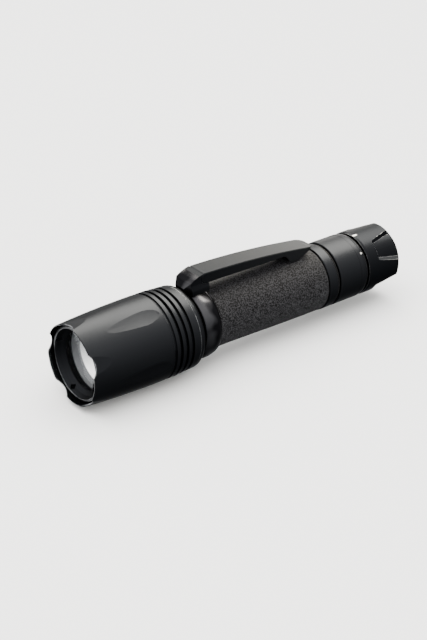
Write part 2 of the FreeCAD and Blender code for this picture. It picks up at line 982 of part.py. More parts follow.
def pocket_section(share):
    """Section of a pocket with sloping sides: a share of 0 is its front end, and 1 the tail face."""
    depth = pocket_front_depth + share * (pocket_rear_depth - pocket_front_depth)
    mouth = pocket_front_mouth + share * (pocket_rear_mouth - pocket_front_mouth)
    floor = pocket_front_floor + share * (pocket_rear_floor - pocket_front_floor)
    mouth_height = math.sqrt(barrel_radius ** 2 - mouth ** 2)
    floor_height = math.sqrt((barrel_radius - depth) ** 2 - floor ** 2)
    slope = (mouth - floor) / (mouth_height - floor_height)
    top = barrel_radius + BEYOND
    bottom = floor_height - seat_clearance
    top_half = floor + slope * (top - floor_height)
    bottom_half = floor + slope * (bottom - floor_height)
    station = tail_end - pocket_length * (1 - share)
    half_widths = (-bottom_half, -top_half, top_half, bottom_half)
    heights = (bottom, top, top, bottom)
    corners = [place(station, height) + SIDE * half for half, height in zip(half_widths, heights)]
    return Part.makePolygon(corners + corners[:1])


def cap_pocket():
    """Open-ended pocket with a curved floor, that widens and deepens towards the tail."""
    past_end = 1 + BEYOND / pocket_length
    wedge = Part.makeLoft([pocket_section(0), pocket_section(past_end)], True, True)
    front = tail_end - pocket_length
    rear = tail_end + BEYOND
    rear_depth = pocket_front_depth + past_end * (pocket_rear_depth - pocket_front_depth)
    band = lathe([
        (front - BEYOND, barrel_radius - pocket_front_depth),
        (front, barrel_radius - pocket_front_depth),
        (rear, barrel_radius - rear_depth),
        (rear, barrel_radius + 2 * BEYOND),
        (front - BEYOND, barrel_radius + 2 * BEYOND),
    ])
    return wedge.common(band)


def selector_cap():
    flange_front = spigot_rear + axial_clearance
    flange_rear = flange_front + cap_flange_thickness
    flange_bore = nose_radius + cap_flange_gap
    tail_bore = barrel_radius - cap_tail_wall
    body = lathe([
        (cap_front, cap_bore),
        (flange_front, cap_bore),
        (flange_front, flange_bore),
        (flange_rear, flange_bore),
        (flange_rear, tail_bore),
        (tail_end, tail_bore),
        (tail_end, barrel_radius - tail_chamfer),
        (tail_end - tail_chamfer, barrel_radius),
        (cap_front + cap_bevel_length, barrel_radius),
        (cap_front, barrel_radius - cap_bevel),
    ])
    body = body.cut([selector_track(stop_pin_angle), selector_track(detent_angle)])
    notches = []
    for angle in (detent_angle, detent_angle - selector_turn):
        notches.append(turned(Part.makeSphere(detent_notch_radius, place(track_station, ball_height)), angle))
    body = body.cut(notches)
    return body.cut(around(cap_pocket(), pocket_count, pocket_angle))


def cap_retainer():
    front = spigot_rear + 2 * axial_clearance + cap_flange_thickness
    outer = barrel_radius - cap_tail_wall - drop_in_clearance
    inner = nose_radius + thread_clearance
    body = ring(front, front + retainer_thickness, inner, outer)
    notch = Part.makeBox(retainer_thickness, retainer_thickness, outer - inner + BEYOND)
    notch.translate(place(front + 2 * retainer_thickness - retainer_notch_depth, (inner + outer) / 2))
    notch.translate(SIDE * (-retainer_thickness / 2))
    return body.cut(around(notch, 2, 0))


def switch_board():
    return disc(switch_board_front, switch_step, thread_bore - drop_in_clearance)


def switch_module():
    body = disc(switch_step, module_rear, switch_bore - module_fit)
    well_front = button_front - plunger_length - button_stop_gap - button_travel
    return body.cut(disc(well_front, module_rear, plunger_radius + running_clearance))


def switch_plunger():
    return disc(button_front - plunger_length, button_front, plunger_radius)


def switch_button():
    stem = nose_bore - running_clearance
    top = tail_end - button_recess
    edge = top - button_dome
    dome_curve = (stem ** 2 + button_dome ** 2) / (2 * button_dome)
    half_angle = math.asin(stem / dome_curve) / 2
    middle = (top - dome_curve * (1 - math.cos(half_angle)), dome_curve * math.sin(half_angle))
    return lathe([
        (button_front, 0),
        (button_front, switch_bore - module_fit),
        (button_flange_rear, switch_bore - module_fit),
        (button_flange_rear, stem),
        (edge, stem),
        ("arc", middle, (top, 0)),
    ])


def button_seal():
    inner = nose_bore + running_clearance
    return ring(nose_inside - seal_thickness, nose_inside, inner, switch_bore - drop_in_clearance)


for build in (
    head_shell, head_collar, lens_ring, lens_gasket, lens, reflector,
    led_centering_ring, led_package, led_dome, led_board, heat_sink, led_leads,
    driver_board, driver_parts, driver_retainer, driver_spring, head_oring,
    body_tube, neck_ring, foam_grip, clip_foot, clip_pins, clip_arm,
    cell_positive_cap, cell_insulator, cell_can, cell_wrap, cell_board,
    tail_oring, contact_plate, contact_spring,
    tail_collar, selector_oring, stop_pin, detent_ball, detent_spring,
    selector_cap, cap_retainer, switch_board, switch_module,
    switch_plunger, switch_button, button_seal,
):
    save(build.__name__, build())
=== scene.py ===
# %% [markdown]
# # A tactical flashlight, dressed for the studio
# The solid model comes in as a fixed frame: every piece is already in its place, in metres, with
# the beam leaving along +X and the pocket clip on top. This lesson gives each piece its real
# finish, swaps the few pieces whose looks depend on soft edges or grain for finer ones, adds the
# painted marks, and lights the light. The frame itself is never moved or changed.

# %% Load the frame
import json
import math
import bmesh
import bpy
from mathutils import Matrix, Vector
from mathutils.bvhtree import BVHTree
from mathutils.interpolate import poly_3d_calc

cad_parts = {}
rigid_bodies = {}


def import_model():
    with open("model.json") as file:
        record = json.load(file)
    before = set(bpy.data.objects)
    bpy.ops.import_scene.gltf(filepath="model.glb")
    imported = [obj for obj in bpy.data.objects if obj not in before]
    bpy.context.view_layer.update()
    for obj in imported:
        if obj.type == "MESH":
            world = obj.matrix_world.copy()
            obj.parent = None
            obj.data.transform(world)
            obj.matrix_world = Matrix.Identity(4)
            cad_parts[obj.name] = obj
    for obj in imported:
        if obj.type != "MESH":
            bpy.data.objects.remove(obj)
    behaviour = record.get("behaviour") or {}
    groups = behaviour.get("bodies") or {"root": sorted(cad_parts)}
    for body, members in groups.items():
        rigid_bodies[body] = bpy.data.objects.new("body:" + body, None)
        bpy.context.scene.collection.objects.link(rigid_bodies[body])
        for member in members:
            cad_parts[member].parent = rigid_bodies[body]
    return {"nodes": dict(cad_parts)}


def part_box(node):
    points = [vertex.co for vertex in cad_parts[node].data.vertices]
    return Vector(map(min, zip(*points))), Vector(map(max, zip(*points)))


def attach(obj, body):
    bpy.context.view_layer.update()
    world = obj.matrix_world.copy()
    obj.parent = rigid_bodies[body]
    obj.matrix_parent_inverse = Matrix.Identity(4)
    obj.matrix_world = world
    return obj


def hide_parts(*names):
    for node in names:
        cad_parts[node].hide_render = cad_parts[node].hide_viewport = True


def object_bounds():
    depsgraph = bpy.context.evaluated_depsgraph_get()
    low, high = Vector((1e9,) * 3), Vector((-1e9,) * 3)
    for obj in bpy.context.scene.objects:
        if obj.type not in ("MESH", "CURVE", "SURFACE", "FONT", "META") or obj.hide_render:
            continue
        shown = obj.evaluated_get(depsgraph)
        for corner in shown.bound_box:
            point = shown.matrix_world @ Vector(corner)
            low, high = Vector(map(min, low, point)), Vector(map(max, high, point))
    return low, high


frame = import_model()
nodes = frame["nodes"]
frame_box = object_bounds()
print("frame size in mm:", [round((high - low) * 1000, 1) for low, high in zip(*frame_box)])

# %% [markdown]
# ## Measures
# The light is a lathe-turned thing, so two numbers place anything on it: how far back it is from
# the rim, and its radius from the axis. Both are read from the frame, so the dressing follows the
# solid model if a size changes there.

# %% Measures read from the frame
MM = 0.001
# Over the size of a grain in millimetres, this is the scale of its noise.
METRE_MM = 1000.0
WHOLE_TURN = 360.0
head_low, head_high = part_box("head_shell")
axis_height = (head_low.z + head_high.z) / 2
rim_x = head_high.x


def spot(station, radius, angle):
    """A point so many millimetres back from the rim, at a radius and an angle from the clip."""
    turn = math.radians(angle)
    return Vector((
        rim_x - station * MM,
        radius * MM * math.sin(turn),
        axis_height + radius * MM * math.cos(turn),
    ))


def span(name):
    """Front station, rear station and outer radius of a turned node, in millimetres."""
    low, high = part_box(name)
    return (rim_x - high.x) / MM, (rim_x - low.x) / MM, (high.y - low.y) / 2 / MM


for name in ("head_shell", "neck_ring", "foam_grip", "tail_collar", "selector_cap"):
    print(name, [round(value, 2) for value in span(name)])

# %% [markdown]
# ## The camera
# A long lens from above the front quarter, level, so that the head is large and the tail runs
# away up to the right. A short lens close by would splay the tube's sides; this one is long enough
# to keep them nearly parallel.

# %% Camera
FILM_HEIGHT, LENS = 36.0, 79.15
AHEAD_OF_RIM, BESIDE_AXIS, ABOVE_AXIS = 0.23043, 0.37623, 0.25445
HEADING = (-0.5443803, -0.69234816, -0.47360755)
camera_data = bpy.data.cameras.new("studio_camera")
camera_data.sensor_fit = "VERTICAL"
camera_data.sensor_height = FILM_HEIGHT
camera_data.lens = LENS
camera_data.clip_start = 0.01
camera = bpy.data.objects.new("studio_camera", camera_data)
bpy.context.scene.collection.objects.link(camera)
camera.location = (rim_x + AHEAD_OF_RIM, BESIDE_AXIS, axis_height + ABOVE_AXIS)
looking = Vector(HEADING)
camera.rotation_euler = looking.to_track_quat("-Z", "Y").to_euler()
bpy.context.scene.camera = camera
print("camera looks down by", round(math.degrees(math.asin(-looking.z)), 1), "degrees")

# %% [markdown]
# ## Floor and light
# A black satin tube shows nothing but what it reflects. A wide, slightly warm softbox hangs behind
# and above it, so its upper side carries one broad highlight; a small one low at the rear draws
# the edge of the tail. Only the light itself is lit by these two, and only the paper floor by the
# big overhead one, through light linking, so the floor stays pale without greying the metal. The
# floor is hidden from reflections for the same reason. A lit tent, dark below and bright overhead,
# fills in the rest, with one pale card that the reflector and the front faces mirror toward the
# camera. Lamps alone would leave every side that faces away from them black.

# %% Colours and nodes


def linear(hex_colour):
    """An sRGB hex colour as linear red, green, blue and alpha."""
    values = [int(hex_colour[place:place + 2], 16) / 255 for place in (1, 3, 5)]
    return [v / 12.92 if v <= 0.04045 else ((v + 0.055) / 1.055) ** 2.4 for v in values] + [1.0]


def add(tree, kind, sockets=None, give=None, **settings):
    """Adds a node. Each entry of sockets is a value, or the output that feeds that socket.

    Returns the node, or the output that give names.
    """
    node = tree.nodes.new(kind)
    for name, value in settings.items():
        setattr(node, name, value)
    for name, value in (sockets or {}).items():
        if isinstance(value, bpy.types.NodeSocket):
            tree.links.new(value, node.inputs[name])
        else:
            node.inputs[name].default_value = value
    return node if give is None else node.outputs[give]


def new_finish(name, colour, **sockets):
    """A Principled material. The uniform values go straight on the shader's own sockets."""
    material = bpy.data.materials.new(name)
    material.use_nodes = True
    shader = material.node_tree.nodes["Principled BSDF"]
    shader.inputs["Base Color"].default_value = linear(colour)
    for socket, value in sockets.items():
        shader.inputs[socket.replace("_", " ")].default_value = value
    return material, material.node_tree, shader


def grain(tree, shader, size_mm, detail=2.0, relief=None, sheen=None, tones=None):
    """Gives a finish a grain of a size in millimetres, on the object's own coordinates.

    Relief is (strength, depth), sheen is the range of the roughness, and tones are two
    (position, hex colour) stops. Returns the coordinates.
    """
    coordinates = add(tree, "ShaderNodeTexCoord").outputs["Object"]
    noise = add(tree, "ShaderNodeTexNoise", {
        "Vector": coordinates, "Scale": METRE_MM / size_mm, "Detail": detail}).outputs["Fac"]
    if relief:
        bump = add(tree, "ShaderNodeBump", {
            "Height": noise, "Strength": relief[0], "Distance": relief[1]})
        tree.links.new(bump.outputs["Normal"], shader.inputs["Normal"])
    if sheen:
        glare = add(tree, "ShaderNodeMapRange", {
            "Value": noise, "To Min": sheen[0], "To Max": sheen[1]})
        tree.links.new(glare.outputs["Result"], shader.inputs["Roughness"])
    if tones:
        ramp = add(tree, "ShaderNodeValToRGB", {"Fac": noise})
        for element, (position, colour) in zip(ramp.color_ramp.elements, tones):
            element.position = position
            element.color = linear(colour)
        tree.links.new(ramp.outputs["Color"], shader.inputs["Base Color"])
    return coordinates


def wear(node_names, material):
    """Gives CAD nodes a finish through their own material slots."""
    for name in node_names:
        slots = nodes[name].data.materials
        if len(slots) == 0:
            slots.append(material)
        for number in range(len(slots)):
            slots[number] = material


print("middle grey in linear light:", round(linear("#808080")[0], 4))

# %% [markdown]
# ## Two ways to make a finer piece
# A solid model has knife edges, and a knife edge never glints. Real edges are broken by a tenth of
# a millimetre or two, and that narrow band is what draws the outline of black things. One helper
# copies a node, merges its loose triangles, clears the flat ones away and bevels what is left
# sharp; the bevel can get its own, paler material, partly worn oxide and partly a painted glint
# along the edges. The other helper turns a profile round the axis, as a lathe would.

# %% Pieces from nodes and profiles
# Corners nearer than these are one: SEAM in a turned piece, WELD in a copied node.
SEAM, WELD = 0.001 * MM, 0.002 * MM
# Faces that meet at less than this many degrees are one flat face.
FLAT = 0.03
# A corner's normal is read a little way in from the corner, toward the middle of its face.
READ_INSIDE = 0.04
# A normal read from the node counts only while it leans this little from the face (a cosine).
TRUSTED_LEAN = 0.8


def settle(name, mesh, body, replaced=()):
    """Places a finished mesh on its body, and hides the nodes that it replaces."""
    piece = bpy.data.objects.new(name, mesh)
    bpy.context.scene.collection.objects.link(piece)
    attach(piece, body)
    if replaced:
        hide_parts(*replaced)
    return piece


def ended(name, shape, *finishes, smooth_to=None):
    """Ends a bmesh as a mesh with its finishes, smooth up to an angle where one is given."""
    mesh = bpy.data.meshes.new(name)
    shape.to_mesh(mesh)
    shape.free()
    for finish in finishes:
        mesh.materials.append(finish)
    if smooth_to:
        for face in mesh.polygons:
            face.use_smooth = True
        mesh.set_sharp_from_angle(angle=math.radians(smooth_to))
    return mesh


def shade_as_modelled(mesh, node_name, calm=None):
    """Gives the broad faces the node's own shading, and lets each bevel turn between them."""
    source = nodes[node_name].data
    points = [vertex.co.copy() for vertex in source.vertices]
    faces = [tuple(face.vertices) for face in source.polygons]
    corners = [[source.corner_normals[k].vector.copy() for k in face.loop_indices]
               for face in source.polygons]
    search = BVHTree.FromPolygons(points, faces)
    normals = [None] * len(mesh.loops)
    met = [[] for _ in mesh.vertices]
    for face in mesh.polygons:
        if face.material_index != 0:
            continue
        for k in face.loop_indices:
            vertex = mesh.loops[k].vertex_index
            inside = mesh.vertices[vertex].co.lerp(face.center, READ_INSIDE)
            near, _, found, _ = search.find_nearest(inside)
            weights = poly_3d_calc([points[v] for v in faces[found]], near)
            normal = sum((n * w for n, w in zip(corners[found], weights)), Vector())
            if normal.length < 0.5 or normal.normalized().dot(face.normal) < TRUSTED_LEAN:
                normal = face.normal
            if calm:
                normal = calm(inside, normal.normalized())
            normals[k] = normal.normalized()
            met[vertex].append(normals[k])
    for face in mesh.polygons:
        if face.material_index == 0:
            continue
        for k in face.loop_indices:
            vertex = mesh.loops[k].vertex_index
            known = met[vertex] or [mesh.vertices[vertex].normal.copy()]
            normals[k] = max(known, key=face.normal.dot)
    mesh.normals_split_custom_set(normals)


def softened(node_name, name, body, finish, edge_finish, width_mm,
             limit=25.0, segments=2, reshape=None, calm=None, wear_and_glint_at=None):
    """A copy of a node with its sharp edges broken.

    Reshape moves the corners first, calm changes the shading of broad faces, and wear_and_glint_at
    says at which stations the bevels keep the edge finish, worn oxide with a painted glint. Without
    it they all do.
    """
    shape = bmesh.new()
    shape.from_mesh(nodes[node_name].data)
    bmesh.ops.remove_doubles(shape, verts=shape.verts, dist=WELD)
    bmesh.ops.dissolve_limit(
        shape, angle_limit=math.radians(FLAT), verts=shape.verts, edges=shape.edges)
    if reshape:
        reshape(shape)
    rough = bpy.data.meshes.new(name + "_sharp")
    shape.to_mesh(rough)
    shape.free()
    rough.materials.clear()
    rough.materials.append(finish)
    rough.materials.append(edge_finish)
    for face in rough.polygons:
        face.use_smooth = True
        face.material_index = 0
    stand = bpy.data.objects.new(name + "_sharp", rough)
    bpy.context.scene.collection.objects.link(stand)
    bevel = stand.modifiers.new("broken_edges", "BEVEL")
    bevel.width = width_mm * MM
    bevel.segments = segments
    bevel.limit_method = "ANGLE"
    bevel.angle_limit = math.radians(limit)
    bevel.material = 1
    evaluated = stand.evaluated_get(bpy.context.evaluated_depsgraph_get())
    mesh = bpy.data.meshes.new_from_object(evaluated)
    mesh.name = name
    bpy.data.objects.remove(stand)
    shade_as_modelled(mesh, node_name, calm)
    for face in mesh.polygons:
        if face.material_index == 1 and wear_and_glint_at and not wear_and_glint_at((rim_x - face.center.x) / MM):
            face.material_index = 0
    print(name, "has", len(mesh.polygons), "faces")
    return settle(name, mesh, body, (node_name,))


def turned(profile, segments=128, closed=True):
    """A bmesh turned round the axis from a list of (station, radius) points."""
    shape = bmesh.new()
    rings = [[shape.verts.new(spot(station, radius, WHOLE_TURN * k / segments))
              for k in range(segments)] for station, radius in profile]
    following = rings[1:] + rings[:1] if closed else rings[1:]
    for ring, after in zip(rings, following):
        for k in range(segments):
            corners = [ring[k], ring[(k + 1) % segments], after[(k + 1) % segments], after[k]]
            shape.faces.new(corners)
    bmesh.ops.remove_doubles(shape, verts=shape.verts, dist=SEAM)
    bmesh.ops.dissolve_degenerate(shape, edges=shape.edges, dist=SEAM)
    bmesh.ops.recalc_face_normals(shape, faces=shape.faces)
    return shape


print("helpers for finer pieces ready")

# %% Floor
FLOOR_HALF, FLOOR_DROP = 3.0, 0.4 * MM
# The mottle is far coarser than paper fibre, so that any of it shows from the camera.
PAPER_MOTTLE = 2.5
floor_finish, tree, shader = new_finish("matt_studio_paper", "#e6e6e4", Roughness=0.9)
grain(tree, shader, PAPER_MOTTLE, 3.0, relief=(0.1, 0.5 * MM))
floor_shape = bmesh.new()
bmesh.ops.create_grid(floor_shape, x_segments=8, y_segments=8, size=FLOOR_HALF)
floor_mesh = bpy.data.meshes.new("studio_floor")
floor_shape.to_mesh(floor_mesh)
floor_shape.free()
floor_mesh.transform(Matrix.Translation((0, 0, frame_box[0].z - FLOOR_DROP)))
floor_mesh.materials.append(floor_finish)
floor = bpy.data.objects.new("studio_floor", floor_mesh)
bpy.context.scene.collection.objects.link(floor)
print("floor at", round((frame_box[0].z - FLOOR_DROP) / MM, 2), "mm")

# %% Softboxes


def softbox(name, direction, distance, width, height, power, colour):
    """A rectangular light that faces the middle of the tube."""
    data = bpy.data.lights.new(name, "AREA")
    data.shape = "RECTANGLE"
    data.size = width
    data.size_y = height
    data.energy = power
    data.color = linear(colour)[:3]
    lamp = bpy.data.objects.new(name, data)
    lamp.visible_camera = False
    bpy.context.scene.collection.objects.link(lamp)
    toward = Vector(direction).normalized()
    lamp.location = Vector((0, 0, axis_height)) + toward * distance
    lamp.rotation_euler = (-toward).to_track_quat("-Z", "Y").to_euler()
    return lamp


key_lamp = softbox("key_softbox", (-0.544, -0.34, 0.76), 1.0, 1.1, 0.62, 62.0, "#fdf7e8")
rear_lamp = softbox("rear_softbox", (-0.80, -0.58, 0.16), 0.50, 0.30, 0.16, 1.2, "#fffaf4")
paper_lamp = softbox("paper_softbox", (0.05, -0.1, 1.0), 2.2, 3.4, 3.4, 150.0, "#ffffff")

lit_by_softboxes = bpy.data.collections.new("lit_by_softboxes")
lit_by_overhead = bpy.data.collections.new("lit_by_overhead")
lit_by_overhead.objects.link(floor)
key_lamp.light_linking.receiver_collection = lit_by_softboxes
rear_lamp.light_linking.receiver_collection = lit_by_softboxes
paper_lamp.light_linking.receiver_collection = lit_by_overhead
floor.visible_glossy = False
for lamp in (key_lamp, rear_lamp, paper_lamp):
    print(lamp.name, round(lamp.location.length, 2), "m away,", round(lamp.data.energy, 1), "W")

# %% The white tent around it
# Each tone is (height on the tent, brightness). Dark tones lean blue, and bright ones lean warm.
TENT_TONES = [
    (0.0, 0.10), (0.12, 0.12), (0.26, 0.18), (0.45, 0.32), (0.68, 0.55), (0.85, 0.92), (1.0, 1.0),
]
TENT_STRENGTH = 3.6
CARD_TOWARD = (0.544, -0.692, -0.474)
# Cosines of the angle off the card's middle at which it fades out and is full.
CARD_EDGE, CARD_FULL, CARD_GLOW = 0.86, 0.97, 0.85
world = bpy.data.worlds.new("studio_tent")
world.use_nodes = True
tent = world.node_tree
heading = add(tent, "ShaderNodeTexCoord").outputs["Generated"]
height = add(tent, "ShaderNodeSeparateXYZ", {"Vector": heading})
climb = add(tent, "ShaderNodeMapRange", {
    "Value": height.outputs["Z"], "From Min": -1.0, "From Max": 1.0})
cloth = add(tent, "ShaderNodeValToRGB", {"Fac": climb.outputs["Result"]})
while len(cloth.color_ramp.elements) < len(TENT_TONES):
    cloth.color_ramp.elements.new(0.5)
for element, (place, tone) in zip(cloth.color_ramp.elements, TENT_TONES):
    element.position = place
    element.color = (tone * (0.96 + 0.05 * tone), tone * 0.99, tone * (1.02 - 0.05 * tone), 1.0)
card = add(tent, "ShaderNodeVectorMath", {0: heading, 1: CARD_TOWARD}, operation="DOT_PRODUCT")
glow = add(tent, "ShaderNodeMapRange", {
    "Value": card.outputs["Value"], "From Min": CARD_EDGE, "From Max": CARD_FULL,
    "To Min": 0.0, "To Max": CARD_GLOW}, interpolation_type="SMOOTHSTEP")
both = add(tent, "ShaderNodeVectorMath", {
    0: cloth.outputs["Color"], 1: glow.outputs["Result"]}, operation="ADD")
tent.links.new(both.outputs["Vector"], tent.nodes["Background"].inputs["Color"])
tent.nodes["Background"].inputs["Strength"].default_value = TENT_STRENGTH
bpy.context.scene.world = world
print("tent tones:", len(cloth.color_ramp.elements), "strength:", TENT_STRENGTH)

# %% [markdown]
# ## Black anodised aluminium
# The head, the collars and the cap are turned aluminium, bead blasted and anodised black. The dyed
# oxide swallows light straight on and mirrors it at a glancing angle, which is why the tube's upper
# edge shines. It could be a black plastic with a clear coat; a dark metal gives the same rise in
# shine toward the edge with one shader. Its tones are tuned and not measured.

# %% Anodised finishes
# The satin skin gives the soft broad highlight. The clouds make its edge wander a little; they are
# coarser than the blast marks, as blasting is never quite even. The cap takes the darker tone.
BLAST_MARK, CLOUD, PIT_DEPTH = 0.35, 9.0, 0.02 * MM
anodic = {}
for name, colour in (
    ("bead_blasted_black_anodising", "#1f2022"),
    ("deeper_dyed_black_anodising", "#161719"),
):
    anodic[name], tree, shader = new_finish(name, colour, Metallic=1.0, Roughness=0.37)
    shader.inputs["Specular Tint"].default_value = linear("#bcbcbc")
    grain(tree, shader, BLAST_MARK, 3.0, relief=(0.25, PIT_DEPTH))
    grain(tree, shader, CLOUD, sheen=(0.34, 0.40))
    print(name, "in linear light:", [round(value, 4) for value in linear(colour)[:3]])
anodised, cap_anodised = anodic.values()
wear(("head_shell", "head_collar", "body_tube", "tail_collar"), anodised)
wear(("selector_cap",), cap_anodised)

# %% Duller finish of the two threaded rings
# A rougher, darker skin. The darker tone is painted shade, so that the rings sink back inside the
# head and the cap.
ring_anodised, tree, shader = new_finish(
    "dull_black_anodising", "#191a1c", Metallic=1.0, Roughness=0.42)
grain(tree, shader, 0.3, relief=(0.3, PIT_DEPTH))
wear(("lens_ring", "cap_retainer"), ring_anodised)
print("anodised finishes made:", len(anodic) + 1)

# %% [markdown]
# ## Edges and the thumb ovals
# Black oxide wears thin along the edges of a used light, and the grey metal under it shows there as
# a fine line. Here the line is partly that wear and partly a painted glint, the light that a broken
# edge catches. Pointiness in a material would only guess at the edges; a real bevel with a second
# finish puts the line exactly on them. The ovals on the head are almost flat, so each one takes a
# single even tone. The solid model cuts them a little deeper than they should look, so their
# floors are raised here and shaded as one facet. The front edges of the tail collar and the cap
# are set back a little, so that the dark joints before them read.

# %% Worn edges with a painted glint
worn_and_glinting_edge, tree, shader = new_finish("anodising_worn_thin_with_painted_glint", "#4a4b4d", Metallic=1.0, Roughness=0.3)
# Grey metal through thin black, and a painted glint: a broken, pale line along the edges.
SCUFF = 2.5
grain(tree, shader, SCUFF, 3.0, tones=((0.35, "#3c3d3f"), (0.7, "#7a7b7c")))
print("patches of worn edge in mm:", SCUFF)

# %% The shell's outer skin, station by station
skin_radius = {}
for vertex in nodes["head_shell"].data.vertices:
    station = round((rim_x - vertex.co.x) / MM, 1)
    radius = math.hypot(vertex.co.y, vertex.co.z - axis_height)
    skin_radius[station] = max(radius, skin_radius.get(station, 0.0))
print("radius of the shell at its widest in mm:", round(max(skin_radius.values()) / MM, 2))

# %% Where the thumb ovals are
# Stations and radii in millimetres, angles in degrees. The floors lie between OVAL_FRONT and
# OVAL_REAR, their feathered ends start at OVAL_END, and nothing of them is below OVAL_INNER.
OVAL_END, OVAL_FRONT, OVAL_REAR, OVAL_INNER = 9.0, 15.0, 37.0, 14.6
OVAL_TURN, OVAL_PITCH, OVAL_HALF = 31.0, 72.0, 17.0
# A corner this far under the skin is part of a floor.
OVAL_SUNK = 0.04
# The share of its depth that a floor keeps.
OVAL_SHARE = 0.45
# How a floor is shaded: as one facet that leans by this angle, with a share of its own hollow.
OVAL_LEAN, OVAL_HOLLOW = 2.0, 0.2
# Faces that lean from the radius by less than the angle aren't floors, nor those past the cosine.
SKIN_LEAN, WALL_LEAN = 5.0, 0.7


def full_radius(station):
    """Radius of the shell's outer skin near a station, as if it had no ovals."""
    return max(skin_radius.get(round(station + step * 0.1, 1), 0.0) for step in range(-8, 9))


def in_an_oval(point):
    """Radius of a point on an oval's floor and its depth under the skin, or nothing elsewhere."""
    station = (rim_x - point.x) / MM
    radius = math.hypot(point.y, point.z - axis_height)
    if not OVAL_FRONT < station < OVAL_REAR or radius < OVAL_INNER * MM:
        return None
    lost = full_radius(station) - radius
    return (radius, lost) if lost > OVAL_SUNK * MM else None


def raise_ovals(shape):
    """Brings the floor of each oval nearer to the skin.

    The first cooling groove lies between the same stations, so its floor comes up as well.
    """
    for vertex in shape.verts:
        found = in_an_oval(vertex.co)
        if found:
            radius, lost = found
            grow_by = (radius + lost * (1 - OVAL_SHARE)) / radius
            vertex.co.y *= grow_by
            vertex.co.z = axis_height + (vertex.co.z - axis_height) * grow_by


def calm_ovals(point, normal):
    """Shades the floor of an oval as one flat facet, with a trace of its hollow left."""
    station = (rim_x - point.x) / MM
    radial = Vector((0.0, point.y, point.z - axis_height))
    turn = math.degrees(math.atan2(radial.y, radial.z))
    off_middle = (turn - OVAL_TURN + OVAL_PITCH / 2) % OVAL_PITCH - OVAL_PITCH / 2
    if not OVAL_END < station < OVAL_REAR or radial.length < OVAL_INNER * MM:
        return normal
    if abs(off_middle) > OVAL_HALF:
        return normal
    plain = radial.normalized()
    across = Vector((0.0, normal.y, normal.z)).normalized()
    if normal.dot(plain) < WALL_LEAN:
        return normal
    if across.angle(plain) < math.radians(SKIN_LEAN) and not in_an_oval(point):
        return normal
    middle = math.radians(turn - off_middle + OVAL_LEAN)
    facet = Vector((0.0, math.sin(middle), math.cos(middle)))
    return facet.lerp(normal, OVAL_HOLLOW).normalized()


print("thumb ovals:", round(WHOLE_TURN / OVAL_PITCH), "from", OVAL_TURN, "degrees on")

# %% Wider joints
TAIL_COLLAR_FRONT, TAIL_COLLAR_REAR = span("tail_collar")[:2]
CAP_FRONT = span("selector_cap")[0]
# Only the skin of the barrel moves, and only this near to a joint.
JOINT_SKIN, JOINT_REACH, JOINT_OPENING = 13.0, 0.45, 0.2


def open_joints(shape):
    """Sets edges at the joints of the tail back.

    The collar's own rear end is hidden in the cap. What lies over it is the cap's pockets, and
    their front corners move forward by as much.
    """
    for vertex in shape.verts:
        station = (rim_x - vertex.co.x) / MM
        if math.hypot(vertex.co.y, vertex.co.z - axis_height) < JOINT_SKIN * MM:
            continue
        for edge, way in (TAIL_COLLAR_FRONT, 1), (TAIL_COLLAR_REAR, -1), (CAP_FRONT, 1):
            if abs(station - edge) < JOINT_REACH:
                vertex.co.x -= way * JOINT_OPENING * MM


print("joints near", [round(edge, 2) for edge in (TAIL_COLLAR_FRONT, TAIL_COLLAR_REAR, CAP_FRONT)])

# %% The head with its worn crown and painted glints
# Bevels keep the grey line, part worn oxide and part painted glint, in front of the first station
# and behind the second one. The flat front of each lobe, within CROWN_DEPTH of the rim, has it
# too: part wear and part a painted highlight on the faces that turn to the front.
HEAD_WEAR_GLINT_FRONT, HEAD_WEAR_GLINT_REAR = 4.0, 45.0
CROWN_FACING, CROWN_DEPTH = 0.85, 3.2
crown = softened(
    "head_shell", "head_shell_edged", "light", anodised, worn_and_glinting_edge, 0.16, limit=50,
    reshape=raise_ovals, calm=calm_ovals,
    wear_and_glint_at=lambda station: station < HEAD_WEAR_GLINT_FRONT or station > HEAD_WEAR_GLINT_REAR)
for face in crown.data.polygons:
    if face.normal.x > CROWN_FACING and (rim_x - face.center.x) / MM < CROWN_DEPTH:
        face.material_index = 1

# %% Collars, lens ring and cap with broken edges
# Stations before and behind which the bevels keep the paler edge: worn oxide and a painted glint.
LENS_RING_WEAR_GLINT, TAIL_WEAR_GLINT = 2.05, 134.0
softened("head_collar", "head_collar_edged", "light", anodised, worn_and_glinting_edge, 0.1)
softened("lens_ring", "lens_ring_edged", "light", ring_anodised, worn_and_glinting_edge, 0.12,
         wear_and_glint_at=lambda station: station < LENS_RING_WEAR_GLINT)
softened("tail_collar", "tail_collar_edged", "tail", anodised, worn_and_glinting_edge, 0.12,
         reshape=open_joints, wear_and_glint_at=lambda station: station > TAIL_WEAR_GLINT)
softened("selector_cap", "selector_cap_edged", "selector", cap_anodised, worn_and_glinting_edge,
         0.16, reshape=open_joints)

# %% [markdown]
# ## Moulded nylon
# The ring behind the head is polished nylon: dark, with slow swells in its skin and its tone that
# break the highlight into blots. The clip is glass-filled nylon with a finer, satin skin, so its
# highlight is broad and even. Both are drawn as dark metals of low tint, because a plain plastic
# lifts every side that faces the lamp. The ring is turned again here with rounder shoulders.

# %% Polished nylon
SWELL, SWELL_DEPTH = 7.0, 0.6 * MM
glossy, tree, shader = new_finish("polished_black_nylon", "#1a1a1c", Metallic=1.0, Roughness=0.26)
shader.inputs["Specular Tint"].default_value = linear("#c8c8c8")
# A wet dark shine that gathers into blots, where the satin parts have one even band.
grain(tree, shader, SWELL, 1.0, relief=(0.8, SWELL_DEPTH),
      tones=((0.5, "#111113"), (0.68, "#363638")))
wear(("neck_ring",), glossy)
print("swells of the nylon in mm:", SWELL)

